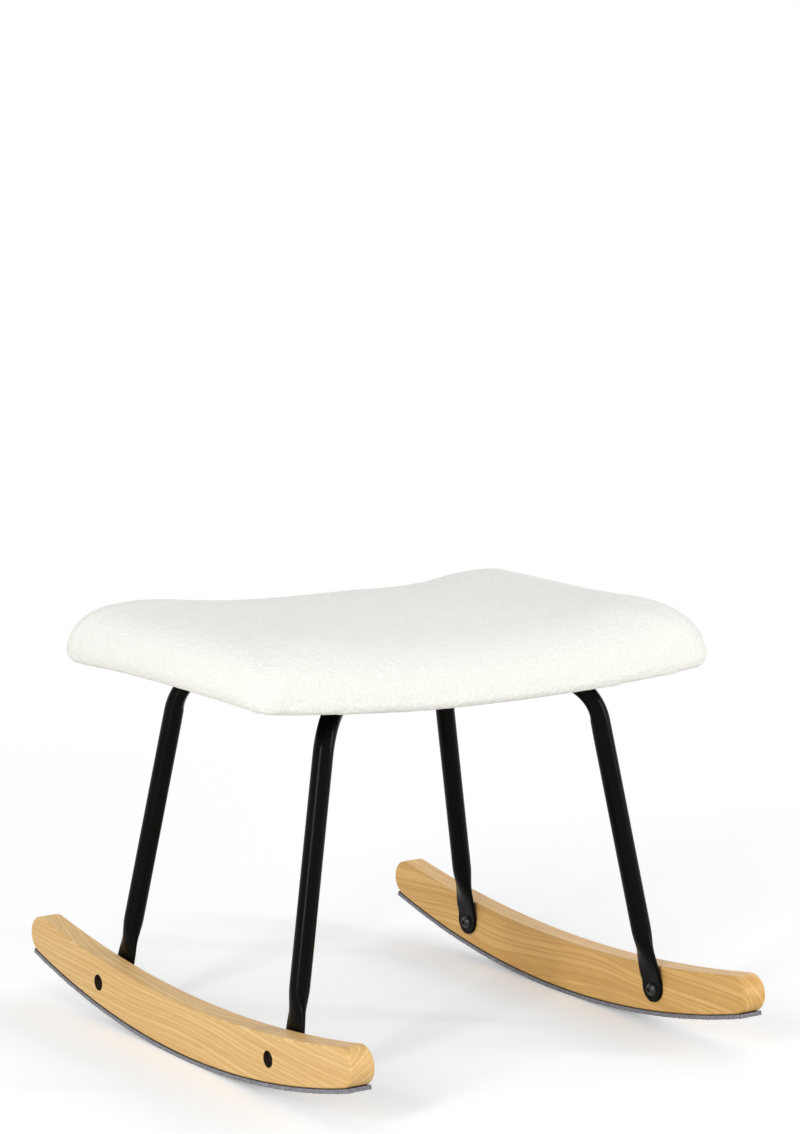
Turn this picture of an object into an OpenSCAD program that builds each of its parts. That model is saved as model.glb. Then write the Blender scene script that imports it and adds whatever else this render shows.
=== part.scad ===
// Rocking footstool. Millimetres. X runs along the seat's length, Y along the
// rockers (front is -Y), Z is up and the floor is at zero.

/* [Rockers] */
// Distance between the outer faces of the two rockers
rocker_span = 480; // [400:1:560]
// Thickness of a rocker plank
rocker_t = 26.5; // [18:0.5:36]
// Height of a rocker at its middle
rocker_h = 51.7; // [35:0.1:70]
// Radius of the wooden sole curve
sole_r = 1147; // [800:1:1600]
// Radius of the curve along the rocker's upper edge
crest_r = 1700; // [1200:5:2400]
// Radius of the round rocker ends
rocker_end_r = 19.1; // [12:0.1:26]
// Rounding of the long wooden edges
rocker_edge_r = 3; // [1:0.5:6]

/* [Felt soles] */
// Thickness of the felt strip
felt_t = 4; // [2:0.5:8]
// Thickness of the adhesive film above the felt
film_t = 0.4; // [0.2:0.1:1]
// Distance from the middle to the end of the felt strip, along Y
felt_reach = 304; // [240:1:320]
// Step of the felt strip in from each rocker face
felt_inset = 0.5; // [0:0.1:3]

/* [Leg frames] */
// Outer diameter of the steel tube
tube_d = 20; // [16:0.5:25]
// Wall thickness of the steel tube
tube_wall = 1.6; // [1:0.1:2.5]
// Distance from the corner of leg and arm to the hem's inner edge, along Y
arm_inset = 25.95; // [18:0.05:40]
// Height of the rocker bolts above the lowest point of the wood
bolt_rise = 35.35; // [20:0.05:60]
// Lean of each leg frame towards the middle, degrees
leg_lean = 5.03; // [0:0.01:15]
// Splay of each leg within its frame, degrees
leg_splay = 10.19; // [0:0.01:25]
// Height above the rocker bolt where the leg's axis meets the tab
leg_foot_rise = 2; // [0:0.5:20]
// Centreline radius of the bend from each leg into its arm
bend_r = 52; // [30:1:90]
// Centreline radius of the bend that joins the two arms under the seat's middle
apex_r = 40; // [36:1:60]
// Height of the seat curve through the arms, at its lowest line
seat_curve_z = 355.8; // [300:0.1:420]
// Radius of the seat curve through the arms
seat_curve_r = 1940; // [1200:1:4000]

/* [Pressed tabs] */
// Width of a pressed tab
tab_w = 32; // [24:0.5:36]
// Height of the crease above the rocker bolt
crease_rise = 27; // [15:0.5:40]
// Height above the rocker bolt where the tube is fully round
round_rise = 52; // [35:0.5:80]
// Height of the tab end's centre above the rocker bolt
tab_end_rise = 3; // [0:0.5:10]

/* [Rocker fasteners] */
// Shank diameter of a rocker bolt
rbolt_d = 8; // [6:0.5:10]
// Head diameter of a rocker bolt
rbolt_head_d = 14; // [10:0.5:18]
// Head height of a rocker bolt
rbolt_head_h = 4.4; // [2:0.1:7]
// Hex socket size of a rocker bolt
rbolt_hex = 5; // [3:0.5:7]
// Free bore between a rocker bolt's tip and the sleeve nut's socket
rbolt_short = 5.3; // [1:0.1:8]
// Wall of a sleeve nut round its bolt
sleeve_wall = 1.5; // [1:0.1:3]
// Overhang of a sleeve nut's flange past its body
sleeve_lip = 2; // [1:0.1:4]
// Flange thickness of a sleeve nut
sleeve_flange_t = 2.5; // [1.5:0.1:4]
// Wood left between a sleeve nut's body and the rocker's inner face
sleeve_short = 2.5; // [1:0.1:6]
// Depth of the sleeve nut's own hex socket
sleeve_hex_depth = 4; // [2:0.5:8]
// Clearance of the counterbore round the sleeve nut's flange
counterbore_gap = 0.5; // [0.2:0.1:2]
// Depth of the flange below the rocker's outer face
sleeve_sink = 4.5; // [1:0.5:8]

/* [Seat board] */
// Padding past the bent board's ends, along X
pad_x = 19; // [14:0.5:30]
// Padding past the bent board's long sides, along Y
pad_y = 18; // [14:0.5:30]
// Thickness of the bent board
board_t = 12; // [8:0.5:20]
// Corner radius of the board
board_corner_r = 24; // [5:1:60]
// Thickness of the lining cloth under the board
lining_t = 0.6; // [0.3:0.1:2]
// Step of the lining in from the board's edge
lining_inset = 1; // [0.5:0.5:6]

/* [Seat fasteners] */
// Distance of a seat bolt in from the leg's axis at the seat curve, along X
seat_bolt_in = 70; // [50:0.5:100]
// Shank diameter of a seat bolt
sbolt_d = 6; // [5:0.5:8]
// Head diameter of a seat bolt
sbolt_head_d = 10.5; // [9:0.5:14]
// Head height of a seat bolt
sbolt_head_h = 3.3; // [2:0.1:5]
// Hex socket size of a seat bolt
sbolt_hex = 4; // [3:0.5:5]
// Wall of an insert nut round its bolt
insert_wall = 1.5; // [1:0.1:3]
// Board left below an insert nut's barrel
insert_cover = 2.5; // [1:0.1:5]
// Overhang of an insert nut's flange past its barrel
insert_lip = 5; // [2:0.5:8]
// Flange thickness of an insert nut
insert_flange_t = 1.4; // [1:0.1:3]

/* [Cushion] */
// Length of the cushion at its widest, along X
cushion_l = 528; // [440:1:640]
// Width of the cushion at its widest, along Y
cushion_w = 388; // [300:1:460]
// Height of the long sides at the middle, from the lower edge to the shoulder
cushion_h = 62.4; // [45:0.1:90]
// Extra height the upper surface would gain at the ends
end_rise = 29.8; // [10:0.1:60]
// Extra height at the centre of the upper surface
crown_rise = 8; // [0:0.5:25]
// Run of the rounded shoulder at the two ends
shoulder_run_x = 80; // [20:1:120]
// Run of the rounded shoulder at the two long sides
shoulder_run_y = 70; // [20:1:120]
// Draw-in of the lower edge at the two ends
foot_in_x = 4; // [0:0.5:12]
// Draw-in of the lower edge at the two long sides
foot_in_y = 3; // [0:0.5:12]
// Outward bow of the long sides
side_bow = 2; // [0:0.5:10]
// Corner radius at the lower edge, seen from above
corner_low_r = 16; // [8:1:50]
// Corner radius at the shoulder, seen from above
corner_top_r = 50; // [20:1:90]
// Drop of the turned hem below the board's underside
hem_drop = 9.5; // [5:0.5:18]
// Lap of the turned hem under the board
hem_lap = 13; // [8:0.5:25]
// Thickness of the pile cover
cover_t = 5; // [2:0.5:8]

/* [Staples] */
// Width of a staple's crown
staple_w = 11; // [8:0.5:14]
// Depth of a staple's legs in the board
staple_bite = 3.6; // [2:0.1:8]
// Thickness of the staple wire
staple_wire = 0.9; // [0.5:0.1:1.5]
// Distance of the staple row in from the board's edge
staple_in = 6; // [4:0.5:10]

/* [Hidden] */
// Share of the cushion's height at which its sides are widest
widest_share = 0.2;
// Power of the rise towards the cushion's ends
rise_power = 2.7;
// Ring sizes across the cushion's underside
under_share = [0.3, 0.7];
// Steps of the lower side, from the lower edge to the widest ring
foot_share = [0, 0.5];
// Ring sizes across the cushion's crown
crown_share = [0.72, 0.42, 0.14];
// Angle between two shoulder rings
shoulder_step = 15;
// Points along each straight run and round each corner of a ring
run_points = 6;
corner_points = 5;
// Places of the staples along a half row, along X and along Y
staple_x_share = [-0.8, -0.6, -0.4, -0.2, 0, 0.2, 0.4, 0.6, 0.8];
staple_y_share = [-0.75, -0.5, -0.25, 0, 0.25, 0.5, 0.75];
// Clearances: bolted faces, shafts in holes, soft pieces
face_gap = 0.05;
shaft_gap = 0.05;
hole_gap = 0.3;
soft_gap = 0.3;
// Overrun of a cut past the faces it opens
overrun = 2;
// Run of a tube's straight lengths into its bends
bend_lap = 0.5;
// Facets of round solids
$fn = 96;

tube_r = tube_d / 2;
bore_r = tube_r - tube_wall;
tab_t = 2 * tube_wall;
sole_z = felt_t + film_t;
bolt_z = sole_z + bolt_rise;
rocker_out_x = rocker_span / 2;
rocker_in_x = rocker_out_x - rocker_t;
sole_cz = sole_z + sole_r;
crest_cz = sole_z + rocker_h + crest_r;

// Centre of the round rocker end, tangent to the sole curve and the crest curve
end_in = sole_r - rocker_end_r;
end_out = crest_r + rocker_end_r;
end_cz = (crest_cz ^ 2 - sole_cz ^ 2 + end_in ^ 2 - end_out ^ 2) / (2 * (crest_cz - sole_cz));
end_cy = sqrt(end_in ^ 2 - (end_cz - sole_cz) ^ 2);
sole_turn = atan2(end_cy, sole_cz - end_cz);
crest_turn = atan2(end_cy, crest_cz - end_cz);
felt_turn = asin(felt_reach / sole_r);

// Rocker fasteners, sized from the bolt outwards and from the plank inwards
sleeve_d = rbolt_d + 2 * sleeve_wall;
sleeve_flange_d = sleeve_d + 2 * sleeve_lip;
counterbore_d = sleeve_flange_d + 2 * counterbore_gap;
sleeve_len = rocker_t - sleeve_sink - sleeve_flange_t - sleeve_short;
rbolt_len = rocker_t + tab_t + 2 * face_gap - sleeve_sink - sleeve_hex_depth - rbolt_short;

// Legs, drawn in a leaning plane with its origin at the rocker bolts' height
tab_x = rocker_in_x - face_gap - tab_t / 2;
leg_t = tan(leg_splay);
foot_x = tab_x + leg_foot_rise * leg_t;
round_x = foot_x - round_rise * leg_t;

// Seat curves, all about one line above the seat
arc_cz = seat_curve_z + seat_curve_r;
lining_r = seat_curve_r - tube_r - face_gap;
board_r = lining_r - lining_t - face_gap;
board_top_r = board_r - board_t;
cover_r = board_r + hem_drop;
hem_top_r = lining_r + soft_gap;
shoulder_z = arc_cz - cover_r + cushion_h;

// Seat sizes, from the cushion inwards to the board, its hem, lining and staples
cushion_hx = cushion_l / 2;
cushion_hy = cushion_w / 2;
board_l = cushion_l - 2 * pad_x;
board_w = cushion_w - 2 * pad_y;
hem_open_l = board_l - 2 * hem_lap;
hem_open_w = board_w - 2 * hem_lap;
staple_row_x = board_l / 2 - staple_in;
staple_row_y = board_w / 2 - staple_in;
staple_leg = staple_wire + hem_drop + staple_bite;

// Arms, tangent to the seat curve at the seat bolts and pointing to the seat's centre
seat_bolt_x = foot_x - (seat_curve_z - bolt_z) / cos(leg_lean) * leg_t - seat_bolt_in;
seat_bolt_turn = asin(seat_bolt_x / seat_curve_r);
arm_slope = tan(seat_bolt_turn);
apex_z = low_z(seat_bolt_x, seat_curve_r) - arm_slope * seat_bolt_x;

// Corner where the axes of leg and arm meet, which gives the rocker bolts their place
corner_h = (apex_z + arm_slope * foot_x - bolt_z) / (cos(leg_lean) + arm_slope * leg_t);
corner_x = foot_x - corner_h * leg_t;
corner_y = arm_inset - hem_open_w / 2;
corner_z = bolt_z + corner_h * cos(leg_lean);
bolt_reach = corner_h * sin(leg_lean) - corner_y;
seat_bolt_y = corner_y * seat_bolt_x / corner_x;

// Arm from the middle to its corner, in a plane that tilts about X
arm = [corner_x, corner_y, corner_z - apex_z];
arm_len = norm(arm);
arm_dir = arm / arm_len;
arm_tilt = atan2(corner_z - apex_z, -corner_y);
arm_turn = acos(corner_x / arm_len);
arm_up = [0, sin(arm_tilt), cos(arm_tilt)];
apex_tan = apex_r * tan(arm_turn);

// Bend from the arm down into the leg: its roll about the arm and its turn
leg_dir = [sin(leg_splay), -cos(leg_splay) * sin(leg_lean), -cos(leg_splay) * cos(leg_lean)];
bend_turn = acos(leg_dir * arm_dir);
bend_roll = atan2(leg_dir * arm_up, leg_dir * cross(arm_up, arm_dir));
bend_tan = bend_r * tan(bend_turn / 2);
leg_len = (corner_h - round_rise) / cos(leg_splay) - bend_tan;

// Seat fasteners, sized from the bolt outwards and from the board
insert_d = sbolt_d + 2 * insert_wall;
insert_flange_d = insert_d + 2 * insert_lip;
insert_len = board_t - insert_cover;
sbolt_len = tube_d + lining_t + board_t + 3 * face_gap;

// Height of a seat curve of radius r at the distance x from the middle
function low_z(x, r) = arc_cz - sqrt(r ^ 2 - x ^ 2);

// Height of the upper surface at the distance x from the middle
function high_z(x, in) = shoulder_z - in + end_rise * (abs(x) / cushion_hx) ^ rise_power;

// Closed outline of one cushion ring, from its half sizes and corner radius
function ring_corner(hx, hy, r, turn, sx, sy) = [
    for (i = [0:corner_points - 1])
        let (a = turn + 90 * i / corner_points)
        [sx * (hx - r) + r * cos(a), sy * (hy - r) + r * sin(a)]];
function ring_run(p, q) = [for (i = [0:run_points - 1]) p + (q - p) * i / run_points];
function ring_line(hx, hy, r) = concat(
    ring_run([hx, r - hy], [hx, hy - r]),
    ring_corner(hx, hy, r, 0, 1, 1),
    ring_run([hx - r, hy], [r - hx, hy]),
    ring_corner(hx, hy, r, 90, -1, 1),
    ring_run([-hx, hy - r], [-hx, r - hy]),
    ring_corner(hx, hy, r, 180, -1, -1),
    ring_run([r - hx, -hy], [hx - r, -hy]),
    ring_corner(hx, hy, r, 270, 1, -1));

// Ring rows of the cushion: half sizes, corner radius, share of the height, crown
function blend(p, q, s) = p + (q - p) * s;
function shoulder_share(a) = widest_share + (1 - widest_share) * sin(a);
function ring_rows(in) = let (
    hx = cushion_hx - in,
    hy = cushion_hy - in,
    fx = hx - foot_in_x,
    fy = hy - foot_in_y,
    cx = hx - shoulder_run_x,
    cy = hy - shoulder_run_y
) concat(
    [for (s = under_share) [fx * s, fy * s, corner_low_r * s, 0, 0]],
    [for (s = foot_share) [
        hx - foot_in_x * (1 - sin(90 * s)),
        hy - foot_in_y * (1 - sin(90 * s)),
        blend(corner_low_r, corner_top_r, widest_share * s), widest_share * s, 0]],
    [for (a = [0:shoulder_step:90]) [
        hx - shoulder_run_x * (1 - cos(a)),
        hy - shoulder_run_y * (1 - cos(a)),
        blend(corner_low_r, corner_top_r, shoulder_share(a)), shoulder_share(a), 0]],
    [for (s = crown_share) [cx * s, cy * s, corner_top_r * s, 1, crown_rise * (1 - s ^ 2)]]);

// Points of a ring, bowed along the long sides and lifted onto the seat curve
function bowed(p, hy) = p[1] * (1 + side_bow / cushion_hy
    * (1 - (p[0] / cushion_hx) ^ 2) * abs(p[1]) / cushion_hy);
function ring_points(row, in, low) = [
    for (p = ring_line(row[0], row[1], row[2]))
        let (z = low_z(p[0], low))
        [p[0], bowed(p), z + row[3] * (high_z(p[0], in) - z) + row[4]]];

// Closed cushion form: in is the step inside the cover, low the underside's radius
module cushion_form(in, low) {
    rows = ring_rows(in);
    rings = [for (row = rows) ring_points(row, in, low)];
    n = len(rings[0]);
    m = len(rings);
    foot = [0, 0, low_z(0, low)];
    peak = [0, 0, high_z(0, in) + crown_rise];
    points = concat([for (ring = rings) for (p = ring) p], [foot, peak]);
    sides = [for (i = [0:m - 2]) for (j = [0:n - 1])
        let (k = (j + 1) % n)
        for (f = [[i * n + j, i * n + n + j, i * n + n + k], [i * n + j, i * n + n + k, i * n + k]])
        f];
    floor_fan = [for (j = [0:n - 1]) [j, (j + 1) % n, m * n]];
    peak_fan = [for (j = [0:n - 1]) [(m - 1) * n + (j + 1) % n, (m - 1) * n + j, m * n + 1]];
    polyhedron(points, concat(sides, floor_fan, peak_fan));
}

// Rectangle with round corners, centred
module round_rect(l, w, r) {
    square([l - 2 * r, w], center = true);
    square([l, w - 2 * r], center = true);
    for (sx = [-1, 1])
        for (sy = [-1, 1])
            translate([sx * (l / 2 - r), sy * (w / 2 - r)])
                circle(r);
}

// Curved sheet between two radii of the seat curve, cut to a rounded plan
module curved_sheet(l, w, r, low, high) {
    reach = l / 2 + overrun;
    intersection() {
        translate([0, 0, low_z(0, low) - overrun])
            linear_extrude(low_z(l / 2, high) - low_z(0, low) + 2 * overrun)
                round_rect(l, w, r);
        translate([0, w / 2 + overrun, arc_cz])
            rotate([90, 0, 0])
                linear_extrude(w + 2 * overrun)
                    difference() {
                        intersection() {
                            circle(low, $fn = 720);
                            translate([-reach, -low - overrun])
                                square([2 * reach, low / 2]);
                        }
                        circle(high, $fn = 720);
                    }
    }
}

// Places children on the seat curve of radius r, pointing up along it
module on_curve(turn, r) {
    translate([0, 0, arc_cz])
        rotate([0, -turn, 0])
            translate([0, 0, -r])
                children();
}

// Turned hem: cover form, its cavity and the opening below the board
module seat_cover() {
    color([0.95, 0.94, 0.92])
        difference() {
            cushion_form(0, cover_r);
            cushion_form(cover_t, hem_top_r);
            translate([0, 0, low_z(0, cover_r) - overrun])
                linear_extrude(low_z(hem_open_l / 2, board_r) - low_z(0, cover_r) + 2 * overrun)
                    round_rect(hem_open_l, hem_open_w, corner_low_r);
        }
}

module foam_pad() {
    color([0.93, 0.88, 0.68])
        difference() {
            cushion_form(cover_t + soft_gap, board_r);
            curved_sheet(board_l + 2 * soft_gap, board_w + 2 * soft_gap,
                board_corner_r, board_r + overrun, board_top_r - soft_gap);
            for (sx = [-1, 1])
                for (sy = [-1, 1])
                    translate([0, sy * seat_bolt_y, 0])
                        on_curve(sx * seat_bolt_turn, board_top_r)
                            cylinder(r = insert_flange_d / 2 + soft_gap,
                                h = insert_flange_t + soft_gap + face_gap);
        }
}

module seat_board() {
    color([0.82, 0.68, 0.48])
        difference() {
            curved_sheet(board_l, board_w, board_corner_r, board_r, board_top_r);
            for (sx = [-1, 1])
                for (sy = [-1, 1])
                    translate([0, sy * seat_bolt_y, 0])
                        on_curve(sx * seat_bolt_turn, board_r + overrun)
                            cylinder(r = insert_d / 2 + shaft_gap, h = board_t + 2 * overrun);
        }
}

module lining() {
    color([0.10, 0.10, 0.11])
        difference() {
            curved_sheet(board_l - 2 * lining_inset, board_w - 2 * lining_inset,
                corner_low_r, lining_r, board_r + face_gap);
            for (sx = [-1, 1])
                for (sy = [-1, 1])
                    translate([0, sy * seat_bolt_y, 0])
                        on_curve(sx * seat_bolt_turn, lining_r + overrun)
                            cylinder(r = sbolt_d / 2 + hole_gap, h = lining_t + 2 * overrun);
        }
}

// One staple with its crown on the hem and its legs up in the board
module staple() {
    translate([-staple_w / 2, -staple_wire / 2, -staple_wire])
        cube([staple_w, staple_wire, staple_wire]);
    for (s = [-1, 1])
        translate([s * (staple_w - staple_wire) / 2 - staple_wire / 2, -staple_wire / 2, -staple_wire])
            cube([staple_wire, staple_wire, staple_leg]);
}

module staples() {
    color([0.75, 0.76, 0.78]) {
        for (sy = [-1, 1])
            for (s = staple_x_share)
                translate([0, sy * staple_row_y, 0])
                    on_curve(asin(s * staple_row_x / cover_r), cover_r)
                        staple();
        for (sx = [-1, 1])
            for (s = staple_y_share)
                translate([0, s * staple_row_y, 0])
                    on_curve(sx * asin(staple_row_x / cover_r), cover_r)
                        rotate(90)
                            staple();
    }
}

// Tab pressed from the tube's end, standing in the frame's plane
module pressed_tab() {
    translate([tab_x - tab_t / 2, 0, 0])
        rotate([90, 0, 90])
            linear_extrude(tab_t)
                difference() {
                    union() {
                        translate([-tab_w / 2, tab_end_rise])
                            square([tab_w, crease_rise - tab_end_rise]);
                        translate([0, tab_end_rise])
                            circle(tab_w / 2);
                    }
                    circle(rbolt_d / 2 + hole_gap);
                }
}

// Squeezed length between the round tube and the crease
module squeezed_end() {
    hull() {
        translate([round_x, 0, round_rise])
            rotate([0, -leg_splay, 0])
                translate([0, 0, -face_gap])
                    cylinder(r = tube_r - 2 * face_gap, h = face_gap, $fn = 32);
        translate([tab_x - tab_t / 2, -tab_w / 2, crease_rise])
            cube([tab_t, tab_w, face_gap]);
    }
}

// Bar of radius r round an arc of radius turn_r, from X towards Y
module bent_bar(r, turn_r, angle) {
    rotate_extrude(angle = angle, $fn = 144)
        translate([turn_r, 0])
            circle(r);
}

// One arm, its bend and its leg as a round bar of radius r, with X along the arm
module leg_bar(r) {
    translate([apex_tan - bend_lap, 0, 0])
        rotate([0, 90, 0])
            cylinder(r = r - face_gap, h = arm_len - apex_tan - bend_tan + 2 * bend_lap);
    translate([arm_len, 0, 0])
        rotate([bend_roll, 0, 0]) {
            translate([-bend_tan, bend_r, 0])
                rotate(-90)
                    bent_bar(r, bend_r, bend_turn);
            rotate(bend_turn)
                translate([bend_tan - bend_lap, 0, 0])
                    rotate([0, 90, 0])
                        cylinder(r = r - face_gap, h = leg_len + bend_lap + face_gap);
        }
}

// Both legs, their arms and the bend between the arms as a round bar of radius r
module frame_bar(r) {
    translate([0, 0, apex_z])
        rotate([-arm_tilt, 0, 0]) {
            translate([0, -apex_r / cos(arm_turn), 0])
                rotate(90 - arm_turn)
                    bent_bar(r, apex_r, 2 * arm_turn);
            for (side = [0, 1])
                mirror([side, 0, 0])
                    rotate(-arm_turn)
                        leg_bar(r);
        }
}

module leg_frame() {
    color([0.06, 0.06, 0.05])
        difference() {
            union() {
                difference() {
                    frame_bar(tube_r);
                    frame_bar(bore_r);
                }
                translate([0, -bolt_reach, bolt_z])
                    rotate([-leg_lean, 0, 0])
                        for (side = [0, 1])
                            mirror([side, 0, 0]) {
                                squeezed_end();
                                pressed_tab();
                            }
            }
            for (sx = [-1, 1])
                translate([0, seat_bolt_y, 0])
                    on_curve(sx * seat_bolt_turn, seat_curve_r + tube_d)
                        cylinder(r = sbolt_d / 2 + hole_gap, h = 2 * tube_d);
        }
}

module front_leg_frame() {
    leg_frame();
}

module rear_leg_frame() {
    mirror([0, 1, 0])
        leg_frame();
}

// Half section of a band of thickness t, its far corners rounded
module band_section(near, far, turn, t) {
    r = rocker_edge_r;
    square_in = min(near, far - turn * r);
    translate([square_in, 0])
        square([abs(far - turn * r - near), t]);
    translate([min(far - turn * r, far), r])
        square([r, t - 2 * r]);
    for (y = [r, t - r])
        translate([far - turn * r, y])
            circle(r);
}

// Wedge of the rocker's middle, bounded by the two radial lines through its end centre
module middle_wedge() {
    polygon([
        [0, 2 * rocker_h + sole_z],
        [end_cy - sin(crest_turn) * rocker_h, end_cz + cos(crest_turn) * rocker_h],
        [end_cy, end_cz],
        [end_cy + sin(sole_turn) * rocker_h, end_cz - cos(sole_turn) * rocker_h],
        [0, -rocker_h]]);
}

// Plank with rounded edges between the sole curve and the crest curve, along X from zero
module rocker_plank() {
    rotate([90, 0, 90]) {
        intersection() {
            translate([0, sole_cz, 0])
                rotate(-90 - 2 * sole_turn)
                    rotate_extrude(angle = 4 * sole_turn, $fn = 1080)
                        band_section(sole_r - 3 * rocker_h, sole_r, 1, rocker_t);
            translate([0, crest_cz, 0])
                rotate(-90 - 2 * crest_turn)
                    rotate_extrude(angle = 4 * crest_turn, $fn = 1440)
                        band_section(crest_r + 3 * rocker_h, crest_r, -1, rocker_t);
            linear_extrude(rocker_t)
                for (side = [0, 1])
                    mirror([side, 0])
                        middle_wedge();
        }
        for (side = [-1, 1])
            translate([side * end_cy, end_cz, face_gap])
                rotate_extrude()
                    band_section(0, rocker_end_r - face_gap, 1, rocker_t - 2 * face_gap);
    }
}

module right_rocker() {
    color([0.86, 0.68, 0.44])
        difference() {
            translate([rocker_in_x, 0, 0])
                rocker_plank();
            for (sy = [-1, 1])
                translate([rocker_in_x, sy * bolt_reach, bolt_z])
                    rotate([0, 90, 0]) {
                        translate([0, 0, -overrun])
                            cylinder(r = sleeve_d / 2 + shaft_gap, h = rocker_t + 2 * overrun);
                        translate([0, 0, rocker_t - sleeve_sink - sleeve_flange_t - face_gap])
                            cylinder(r = counterbore_d / 2, h = rocker_t);
                    }
        }
}

module left_rocker() {
    mirror([1, 0, 0])
        right_rocker();
}

// Strip under the sole curve, between two radii
module sole_strip(inner, outer) {
    translate([rocker_in_x + felt_inset, 0, sole_cz])
        rotate([90, 0, 90])
            rotate(-90 - felt_turn)
                rotate_extrude(angle = 2 * felt_turn, $fn = 1080)
                    translate([inner, 0])
                        square([outer - inner, rocker_t - 2 * felt_inset]);
}

module right_felt() {
    color([0.55, 0.55, 0.59])
        sole_strip(sole_r + film_t, sole_r + film_t + felt_t);
}

module left_felt() {
    mirror([1, 0, 0])
        right_felt();
}

module right_film() {
    color([0.12, 0.12, 0.13])
        sole_strip(sole_r + face_gap, sole_r + film_t - face_gap);
}

module left_film() {
    mirror([1, 0, 0])
        right_film();
}

// Domed head with a hex socket, its bearing face at zero and its dome downwards
module socket_head(d, h, hex) {
    dome_r = (d ^ 2 / 4 + h ^ 2) / (2 * h);
    difference() {
        intersection() {
            translate([0, 0, dome_r - h])
                sphere(dome_r);
            translate([0, 0, -h])
                cylinder(r = d / 2, h = h);
        }
        translate([0, 0, -h - overrun])
            cylinder(r = hex / 2 / cos(30), h = h / 2 + overrun, $fn = 6);
    }
}

module rocker_bolt() {
    color([0.05, 0.05, 0.05])
        translate([tab_x - tab_t / 2 - face_gap, -bolt_reach, bolt_z])
            rotate([0, 90, 0]) {
                socket_head(rbolt_head_d, rbolt_head_h, rbolt_hex);
                cylinder(r = rbolt_d / 2, h = rbolt_len);
            }
}

module sleeve_nut() {
    color([0.12, 0.11, 0.10])
        translate([rocker_out_x - sleeve_sink, -bolt_reach, bolt_z])
            rotate([0, -90, 0])
                difference() {
                    union() {
                        cylinder(r = sleeve_flange_d / 2, h = sleeve_flange_t);
                        cylinder(r = sleeve_d / 2, h = sleeve_flange_t + sleeve_len);
                    }
                    translate([0, 0, sleeve_hex_depth])
                        cylinder(r = rbolt_d / 2 + shaft_gap, h = sleeve_flange_t + sleeve_len);
                    translate([0, 0, -overrun])
                        cylinder(r = rbolt_hex / 2 / cos(30), h = sleeve_hex_depth + 2 * overrun, $fn = 6);
                }
}

module seat_bolt() {
    color([0.05, 0.05, 0.05])
        translate([0, seat_bolt_y, 0])
            on_curve(seat_bolt_turn, seat_curve_r + tube_r + face_gap) {
                socket_head(sbolt_head_d, sbolt_head_h, sbolt_hex);
                cylinder(r = sbolt_d / 2, h = sbolt_len);
            }
}

module insert_nut() {
    color([0.70, 0.70, 0.66])
        translate([0, seat_bolt_y, 0])
            on_curve(seat_bolt_turn, board_top_r - face_gap)
                difference() {
                    union() {
                        cylinder(r = insert_flange_d / 2, h = insert_flange_t);
                        translate([0, 0, -insert_len])
                            cylinder(r = insert_d / 2, h = insert_len + insert_flange_t);
                    }
                    translate([0, 0, -insert_len - overrun])
                        cylinder(r = sbolt_d / 2 + shaft_gap, h = insert_len + insert_flange_t + 2 * overrun);
                }
}

module bolt_front_right() {
    rocker_bolt();
}

module bolt_front_left() {
    mirror([1, 0, 0])
        rocker_bolt();
}

module bolt_rear_right() {
    mirror([0, 1, 0])
        rocker_bolt();
}

module bolt_rear_left() {
    mirror([0, 1, 0])
        bolt_front_left();
}

module sleeve_front_right() {
    sleeve_nut();
}

module sleeve_front_left() {
    mirror([1, 0, 0])
        sleeve_nut();
}

module sleeve_rear_right() {
    mirror([0, 1, 0])
        sleeve_nut();
}

module sleeve_rear_left() {
    mirror([0, 1, 0])
        sleeve_front_left();
}

module seat_bolt_front_right() {
    seat_bolt();
}

module seat_bolt_front_left() {
    mirror([1, 0, 0])
        seat_bolt();
}

module seat_bolt_rear_right() {
    mirror([0, 1, 0])
        seat_bolt();
}

module seat_bolt_rear_left() {
    mirror([0, 1, 0])
        seat_bolt_front_left();
}

module insert_front_right() {
    insert_nut();
}

module insert_front_left() {
    mirror([1, 0, 0])
        insert_nut();
}

module insert_rear_right() {
    mirror([0, 1, 0])
        insert_nut();
}

module insert_rear_left() {
    mirror([0, 1, 0])
        insert_front_left();
}

seat_cover();
foam_pad();
seat_board();
lining();
staples();
front_leg_frame();
rear_leg_frame();
left_rocker();
right_rocker();
left_felt();
right_felt();
left_film();
right_film();
bolt_front_left();
bolt_front_right();
bolt_rear_left();
bolt_rear_right();
sleeve_front_left();
sleeve_front_right();
sleeve_rear_left();
sleeve_rear_right();
seat_bolt_front_left();
seat_bolt_front_right();
seat_bolt_rear_left();
seat_bolt_rear_right();
insert_front_left();
insert_front_right();
insert_rear_left();
insert_rear_right();
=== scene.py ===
# %% [markdown]
# # A rocking footstool
# A saddle-shaped seat in off-white looped pile stands on two black tube frames, and the frames
# are bolted to two curved oak rockers with felt under them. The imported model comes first,
# because it holds every size: each piece made here goes where its CAD node is.

# %% The frame
import math
import bmesh
import bpy
from mathutils import Matrix, Vector, noise
from mathutils.bvhtree import BVHTree


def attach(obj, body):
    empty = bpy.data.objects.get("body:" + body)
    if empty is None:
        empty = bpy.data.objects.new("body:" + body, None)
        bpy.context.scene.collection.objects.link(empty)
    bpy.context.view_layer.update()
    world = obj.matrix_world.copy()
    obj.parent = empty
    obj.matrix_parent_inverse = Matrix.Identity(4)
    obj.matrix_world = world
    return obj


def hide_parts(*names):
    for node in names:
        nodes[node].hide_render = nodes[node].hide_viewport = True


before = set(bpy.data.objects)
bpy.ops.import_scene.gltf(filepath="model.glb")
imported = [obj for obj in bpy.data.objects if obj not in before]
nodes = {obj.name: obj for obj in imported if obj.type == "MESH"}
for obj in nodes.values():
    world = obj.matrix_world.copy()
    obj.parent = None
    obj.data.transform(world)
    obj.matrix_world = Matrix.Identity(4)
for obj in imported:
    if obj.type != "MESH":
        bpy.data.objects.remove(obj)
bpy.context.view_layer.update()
scene = bpy.context.scene

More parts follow.
